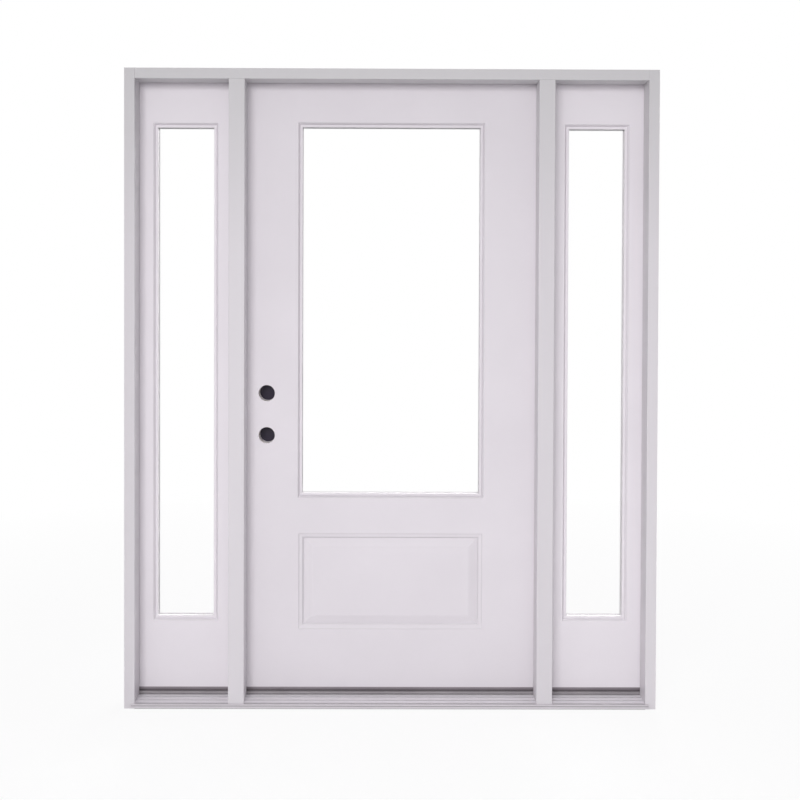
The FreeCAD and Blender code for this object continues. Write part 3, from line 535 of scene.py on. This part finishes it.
def shaded_seal(name):
    """Black rubber under the slabs, lightened to grey to stand in for light, and painted darker
    at its foot as shade.
    """
    # Grey, lighter than black rubber, stands in for light; the foot is painted darker as shade
    finish = moulded(
        name, base=(146, 138, 144), fleck=(162, 154, 160), roughness=(0.5, 0.7), scale=1100.0
    )
    height = finish.split()[2]
    finish.overlay(finish.board.spread(height, SEAL_FOOT, SEAL_TOP, SEAL_FOOT_SHADE_SHARE, 0.0), SEAL_FOOT_SHADE)
    return finish.material


def rigid_foam(name):
    """Cut rigid foam with small closed cells."""
    finish = Finish(name)
    finish.apply(
        MOULDED_GRIT,
        finish.place,
        colours={"Base": (232, 220, 176), "Fleck": (206, 190, 140)},
        roughness=(0.75, 0.9),
        scales={"Grain Scale": 400.0},
    )
    cells = finish.board.add("ShaderNodeTexVoronoi", {"Vector": finish.place, "Scale": 700.0})
    finish.relief(cells.outputs[0], CELL_RELIEF)
    return finish.material


def clear_glass(name):
    """Float glass with a very slight waviness and a trace of haze."""
    finish = Finish(
        name, Transmission_Weight=1.0, IOR=1.5, Base_Color=WHITE, Specular_IOR_Level=0.1
    )
    board = finish.board
    haze_low, haze_high = 0.45, 0.8
    haze = board.noise(finish.place, scale=14.0, detail=4.0)
    finish.feed("Roughness", board.spread(haze, haze_low, haze_high, 0.0, GLASS_HAZE))
    finish.relief(board.noise(finish.place, scale=3.0, detail=1.0), GLASS_RELIEF)
    shadow = board.add("ShaderNodeLightPath").outputs["Is Shadow Ray"]
    passing = board.add("ShaderNodeBsdfTransparent").outputs[0]
    finish.show(board.cover(shadow, finish.shader.outputs[0], passing))
    return finish.material


def perforated_spacer(name):
    """Pale rolled spacer bar with a row of small breather holes along its middle."""
    finish = drawn_metal(
        name,
        light=(250, 248, 250),
        dark=(242, 240, 242),
        stretch=ROLLED,
        scale=300.0,
        roughness=(0.4, 0.55),
        metallic=0.1,
    )
    board = finish.board
    split = finish.split()
    sideways = board.split(board.add("ShaderNodeNewGeometry").outputs["Normal"])[0]
    upright = board.calc("GREATER_THAN", board.calc("ABSOLUTE", sideways), 0.5)
    along = board.add("ShaderNodeMix", {0: upright, 2: split[0], 3: split[2]}).outputs[0]
    part = board.calc("FRACT", board.calc("DIVIDE", along, SPACER_HOLE_PITCH))
    run = board.calc("MULTIPLY", board.calc("SUBTRACT", part, 0.5), SPACER_HOLE_PITCH)
    low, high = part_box("door_spacer")
    rise = board.calc("SUBTRACT", split[1], (low.y + high.y) / 2)
    run_square = board.calc("MULTIPLY", run, run)
    rise_square = board.calc("MULTIPLY", rise, rise)
    reach = board.calc("SQRT", board.calc("ADD", run_square, rise_square))
    finish.overlay(board.calc("LESS_THAN", reach, SPACER_HOLE_RADIUS), HOLE)
    return finish.material


# The frame's paint, painted darker towards the top as shade, and over most of the head
frame_upright_paint = top_shaded(
    "frame_upright_paint", FRAME_PAINT, FRAME_SHADE, BRUSHED_UP, FRAME_TOP_SHADE
)
frame_head_paint = top_shaded(
    "frame_head_paint", FRAME_PAINT, FRAME_SHADE, BRUSHED_ACROSS, FRAME_TOP_SHADE
)
leaf_paint = panelled("leaf_paint", LEAF_PAINT, LEAF_SHADE)
# Lighter than the leaf's paint, to stand in for light the sidelights' recesses lose
sidelight_paint = satin("sidelight_paint", SIDELIGHT_PAINT_LIGHTENED, SIDELIGHT_SHADE_LIGHTENED, EVEN).material
stile_wood = laminated_wood("stile_wood", light=(222, 196, 150), dark=(186, 150, 102))
# Pale, and lightened further to stand in for light inside the shaded bores
block_wood = laminated_wood("block_wood", light=(250, 247, 247), dark=(240, 235, 235))
core_foam = rigid_foam("core_foam")
deck_metal = grooved_deck("deck_metal")
base_composite = moulded(
    "base_composite",
    base=(126, 123, 126),
    fleck=(150, 147, 150),
    roughness=(0.5, 0.66),
    scale=500.0,
).material
cap_composite = moulded(
    "cap_composite",
    base=(146, 141, 145),
    fleck=(162, 157, 161),
    roughness=(0.45, 0.6),
    scale=700.0,
).material
seal_pale = moulded(
    "seal_pale",
    base=(206, 202, 206),
    fleck=(220, 216, 220),
    roughness=(0.55, 0.7),
    scale=1400.0,
).material
seal_black = shaded_seal("seal_black")
cover_black = moulded(
    "cover_black",
    base=(41, 36, 50),
    fleck=(53, 47, 62),
    roughness=(0.55, 0.7),
    scale=1300.0,
).material
lite_glass = clear_glass("lite_glass")
spacer_metal = perforated_spacer("spacer_metal")
hinge_metal = drawn_metal(
    "hinge_metal",
    light=(172, 169, 164),
    dark=(138, 135, 130),
    stretch=DRAWN_UP,
    scale=500.0,
    roughness=(0.36, 0.5),
    metallic=1.0,
).material
screw_metal = drawn_metal(
    "screw_metal",
    light=(158, 155, 150),
    dark=(126, 123, 118),
    stretch=EVEN,
    scale=900.0,
    roughness=(0.3, 0.44),
    metallic=1.0,
).material

FINISHES = {
    frame_upright_paint: ("left_jamb", "right_jamb", "left_mullion", "right_mullion"),
    frame_head_paint: ("head_jamb",),
    leaf_paint: ("door_outer_skin", "door_inner_skin"),
    sidelight_paint: ("left_sidelight_slab", "right_sidelight_slab"),
    stile_wood: ("door_lock_stile", "door_hinge_stile", "door_top_rail", "door_bottom_rail"),
    block_wood: ("door_lock_block",),
    core_foam: ("door_core",),
    deck_metal: ("sill_deck",),
    base_composite: ("sill_base",),
    cap_composite: ("threshold_cap", "left_sill_cap", "right_sill_cap"),
    seal_pale: (
        "door_weatherstrip",
        "left_sidelight_weatherstrip",
        "right_sidelight_weatherstrip",
    ),
    seal_black: ("door_sweep", "left_sidelight_bed", "right_sidelight_bed"),
    cover_black: ("bore_covers",),
    lite_glass: ("door_glass", "left_sidelight_glass", "right_sidelight_glass"),
    spacer_metal: ("door_spacer", "left_sidelight_spacer", "right_sidelight_spacer"),
    hinge_metal: ("frame_hinge_leaves", "door_hinge_leaves", "hinge_pins"),
}


def dress(node, material):
    """Give a CAD node its finish."""
    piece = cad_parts[node]
    if not piece.material_slots:
        piece.data.materials.append(material)
    for slot in piece.material_slots:
        slot.material = material


for material, nodes in FINISHES.items():
    for node in nodes:
        dress(node, material)
dress("door_bead", mitred("door_bead_paint", LEAF_PAINT, LEAF_SHADE, "door_bead"))
for bead in ("left_sidelight_bead", "right_sidelight_bead"):
    dress(bead, mitred(f"{bead}_paint", SIDELIGHT_PAINT_LIGHTENED, SIDELIGHT_SHADE_LIGHTENED, bead))

# Screws

SCREW_INPUTS = (
    ("Rows", "Int"),
    ("Row Start", "Vector"),
    ("Row Step", "Vector"),
    ("Screws", "Int"),
    ("Screw Start", "Vector"),
    ("Screw Step", "Vector"),
    ("Zigzag", "Vector"),
    ("Facing", "Vector"),
    ("Head Diameter", "Float"),
    ("Head Rise", "Float"),
    ("Recess Length", "Float"),
    ("Recess Width", "Float"),
    ("Recess Depth", "Float"),
    ("Seed", "Int"),
    ("Finish", "Material"),
)


def cross_head(board, entry):
    """One flat screw head, sunk to its seat, with a cross recess cut into it."""
    radius = board.calc("MULTIPLY", entry["Head Diameter"], 0.5)
    cone = board.add(
        "GeometryNodeMeshCone",
        {
            "Vertices": SCREW_HEAD_SIDES,
            "Radius Top": board.calc("MULTIPLY", radius, SCREW_HEAD_TAPER),
            "Radius Bottom": radius,
            "Depth": board.calc("MULTIPLY", entry["Head Rise"], 2.0),
        },
    ).outputs["Mesh"]
    head = board.moved(cone, board.point(z=board.calc("MULTIPLY", entry["Head Rise"], -1.0)))
    depth = board.calc("MULTIPLY", entry["Recess Depth"], 2.0)
    level = board.point(z=entry["Head Rise"])
    length, width = entry["Recess Length"], entry["Recess Width"]
    for size in (board.point(length, width, depth), board.point(width, length, depth)):
        bar = board.add("GeometryNodeMeshCube", {"Size": size}).outputs["Mesh"]
        head = board.add(
            "GeometryNodeMeshBoolean",
            {"Mesh 1": head, "Mesh 2": board.moved(bar, level)},
            operation="DIFFERENCE",
            solver="EXACT",
        ).outputs[0]
    return head


def screw_rows():
    """Geometry Nodes: rows of flat screw heads with a cross recess, each turned by chance."""
    tree = bpy.data.node_groups.new("screw_rows", "GeometryNodeTree")
    for label, kind in SCREW_INPUTS:
        tree.interface.new_socket(label, in_out="INPUT", socket_type=f"NodeSocket{kind}")
    tree.interface.new_socket("Geometry", in_out="OUTPUT", socket_type="NodeSocketGeometry")
    board = Board(tree)
    entry = board.add("NodeGroupInput").outputs
    result = board.add("NodeGroupOutput").inputs

    line = board.line(entry["Screws"], entry["Screw Start"], entry["Screw Step"])
    index = board.add("GeometryNodeInputIndex").outputs[0]
    odd = board.calc("MULTIPLY", board.calc("MODULO", index, 2.0), 2.0)
    shift = board.add(
        "ShaderNodeVectorMath",
        {0: entry["Zigzag"], "Scale": board.calc("SUBTRACT", odd, 1.0)},
        operation="SCALE",
    ).outputs[0]
    spots = board.add("GeometryNodeSetPosition", {"Geometry": line, "Offset": shift}).outputs[0]
    chance = board.add(
        "FunctionNodeRandomValue",
        {2: 0.0, 3: math.tau, "Seed": entry["Seed"]},
        data_type="FLOAT",
    ).outputs[1]
    placed = board.add(
        "GeometryNodeInstanceOnPoints",
        {
            "Points": spots,
            "Instance": cross_head(board, entry),
            "Rotation": board.point(z=chance),
        },
    ).outputs[0]
    faced = board.add(
        "GeometryNodeRotateInstances",
        {
            "Instances": placed,
            "Rotation": entry["Facing"],
            "Pivot Point": board.add("GeometryNodeInputPosition").outputs[0],
            "Local Space": False,
        },
    ).outputs[0]
    plate = board.add("GeometryNodeRealizeInstances", {"Geometry": faced}).outputs[0]
    rows = board.line(entry["Rows"], entry["Row Start"], entry["Row Step"])
    whole = board.add("GeometryNodeInstanceOnPoints", {"Points": rows, "Instance": plate})
    real = board.add("GeometryNodeRealizeInstances", {"Geometry": whole.outputs[0]})
    finished = board.add(
        "GeometryNodeSetMaterial",
        {"Geometry": real.outputs[0], "Material": entry["Finish"]},
    )
    board.feed(result["Geometry"], finished.outputs[0])
    return tree


SCREW_ROWS = screw_rows()


def grown(name, tree, values):
    """A plain mesh made by a Geometry Nodes tree."""
    piece = bpy.data.objects.new(name, bpy.data.meshes.new(name))
    scene.collection.objects.link(piece)
    modifier = piece.modifiers.new("grown", "NODES")
    modifier.node_group = tree
    for item in tree.interface.items_tree:
        if item.in_out == "INPUT":
            modifier[item.identifier] = values[item.name]
    shown = piece.evaluated_get(bpy.context.evaluated_depsgraph_get())
    mesh = bpy.data.meshes.new_from_object(shown)
    piece.modifiers.clear()
    piece.data = mesh
    mesh.name = name
    return piece


def screws(name, body, slot, **values):
    """Rows of screws that ride on one body."""
    sizes = {
        "Head Diameter": SCREW_HEAD,
        "Head Rise": SCREW_RISE,
        "Recess Length": SCREW_RECESS_LENGTH,
        "Recess Width": SCREW_RECESS_WIDTH,
        "Recess Depth": SCREW_RECESS_DEPTH,
        "Finish": screw_metal,
    }
    sizes.update({label.replace("_", " "): value for label, value in values.items()})
    piece = grown(name, SCREW_ROWS, sizes)
    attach(piece, body)


def hinge_screws(name, body, face, facing, seed):
    """Four screws in each of three hinge plates."""
    low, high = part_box("frame_hinge_leaves")
    leaf_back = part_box("door_inner_skin")[1].y
    screws(
        name,
        body,
        "hinge_metal",
        Rows=HINGES,
        Row_Start=(face, (low.y + leaf_back) / 2, low.z + HINGE_HEIGHT / 2),
        Row_Step=(0.0, 0.0, (high.z - low.z - HINGE_HEIGHT) / (HINGES - 1)),
        Screws=SCREWS_PER_PLATE,
        Screw_Start=(0.0, 0.0, -SCREW_PITCH * (SCREWS_PER_PLATE - 1) / 2),
        Screw_Step=(0.0, 0.0, SCREW_PITCH),
        Zigzag=(0.0, SCREW_ZIGZAG, 0.0),
        Facing=(0.0, facing, 0.0),
        Seed=seed,
    )


hinge_screws("frame_hinge_screws", "frame", FRAME_PLATE_FACE, facing=-math.pi / 2, seed=3)
hinge_screws("leaf_hinge_screws", "leaf", LEAF_PLATE_FACE, facing=math.pi / 2, seed=5)

cap_low, cap_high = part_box("threshold_cap")
screws(
    "cap_screws",
    "frame",
    "hinge_metal",
    Rows=1,
    Row_Start=((cap_low.x + cap_high.x) / 2, cap_high.y - CAP_SCREW_INSET, cap_high.z),
    Row_Step=(0.0, 0.0, 0.0),
    Screws=CAP_SCREWS,
    Screw_Start=(-CAP_SCREW_PITCH * (CAP_SCREWS - 1) / 2, 0.0, 0.0),
    Screw_Step=(CAP_SCREW_PITCH, 0.0, 0.0),
    Zigzag=(0.0, 0.0, 0.0),
    Facing=(0.0, 0.0, 0.0),
    Seed=7,
    Head_Diameter=CAP_SCREW_HEAD,
)

# Floor, light and camera


def seen_rays(board):
    """One for rays from the camera, a mirror or a pane, and nought for light that bounces."""
    rays = board.add("ShaderNodeLightPath").outputs
    first = board.calc("MAXIMUM", rays["Is Camera Ray"], rays["Is Glossy Ray"])
    return board.calc("MAXIMUM", first, rays["Is Transmission Ray"])


def pale_floor():
    """A plain pale floor that keeps the shadow and fades to white far from the door."""
    mesh = bpy.data.meshes.new("floor")
    corners = [(-1, -1), (1, -1), (1, 1), (-1, 1)]
    places = [(x * FLOOR_REACH, y * FLOOR_REACH, 0.0) for x, y in corners]
    mesh.from_pydata(places, [], [(0, 1, 2, 3)])
    floor = bpy.data.objects.new("floor", mesh)
    scene.collection.objects.link(floor)
    finish = Finish(
        "pale_floor", Base_Color=tone(*FLOOR_TONE), Roughness=0.9, Specular_IOR_Level=0.1
    )
    board = finish.board
    length = board.add("ShaderNodeVectorMath", {0: finish.place}, operation="LENGTH")
    far = board.spread(length.outputs["Value"], FLOOR_CLEAR, FLOOR_FADED, FLOOR_WHITE, 1.0)
    share = board.calc("MULTIPLY", far, seen_rays(board))
    glow = board.add("ShaderNodeEmission", {"Color": WHITE, "Strength": 1.0}).outputs[0]
    finish.show(board.cover(share, finish.shader.outputs[0], glow))
    mesh.materials.append(finish.material)


def white_world():
    """White where it is seen, and a softer level where it lights the door."""
    world = bpy.data.worlds.new("studio")
    scene.world = world
    world.use_nodes = True
    board = Board(world.node_tree)
    lighting = world.node_tree.nodes["Background"]
    lighting.inputs["Color"].default_value = tone(*AMBIENT_TONE)
    lighting.inputs["Strength"].default_value = AMBIENT
    backdrop = board.add("ShaderNodeBackground", {"Color": WHITE, "Strength": 1.0}).outputs[0]
    mix = board.cover(seen_rays(board), lighting.outputs[0], backdrop)
    board.feed(world.node_tree.nodes["World Output"].inputs["Surface"], mix)


def soft_lamp(name, place, aim, size, spread, power, through_panes):
    """A broad lamp turned towards a point, its light kept to a cone and its shape unmirrored."""
    light = bpy.data.lights.new(name, "AREA")
    light.shape = "RECTANGLE"
    light.size, light.size_y = size
    light.spread = math.radians(spread)
    light.energy = power
    lamp = bpy.data.objects.new(name, light)
    scene.collection.objects.link(lamp)
    lamp.location = place
    lamp.rotation_euler = (Vector(aim) - Vector(place)).to_track_quat("-Z", "Y").to_euler()
    lamp.visible_glossy = False
    lamp.visible_transmission = through_panes


pale_floor()
white_world()
soft_lamp(
    "key_lamp",
    place=(-0.95, -4.9, 2.85),
    aim=(0.45, 0.0, 0.55),
    size=(3.0, 1.7),
    spread=80.0,
    power=39.2,
    through_panes=False,
)
soft_lamp(
    "back_lamp",
    place=(1.3, 4.6, 3.4),
    aim=(-0.4, 0.0, 0.6),
    size=(2.6, 1.2),
    spread=90.0,
    power=31.0,
    through_panes=True,
)

CAMERA_PLACE = (-0.0443, -3.2504, 1.3452)
CAMERA_YAW = math.radians(0.241)
CAMERA_PITCH = math.radians(-0.769)
CAMERA_ROLL = math.radians(0.199)
SENSOR_WIDTH = 36.0
IMAGE_WIDTH = 800
FOCAL_PIXELS = 983.2
CENTRE_OFFSET = (-18.0, -89.9)

camera_data = bpy.data.cameras.new("camera")
camera_data.sensor_width = SENSOR_WIDTH
camera_data.lens = FOCAL_PIXELS * SENSOR_WIDTH / IMAGE_WIDTH
camera_data.shift_x = -CENTRE_OFFSET[0] / IMAGE_WIDTH
camera_data.shift_y = CENTRE_OFFSET[1] / IMAGE_WIDTH
camera = bpy.data.objects.new("camera", camera_data)
scene.collection.objects.link(camera)
camera.matrix_world = (
    Matrix.Translation(CAMERA_PLACE)
    @ Matrix.Rotation(-CAMERA_YAW, 4, "Z")
    @ Matrix.Rotation(math.pi / 2 + CAMERA_PITCH, 4, "X")
    @ Matrix.Rotation(CAMERA_ROLL, 4, "Z")
)
scene.camera = camera
scene.view_settings.view_transform = "Standard"
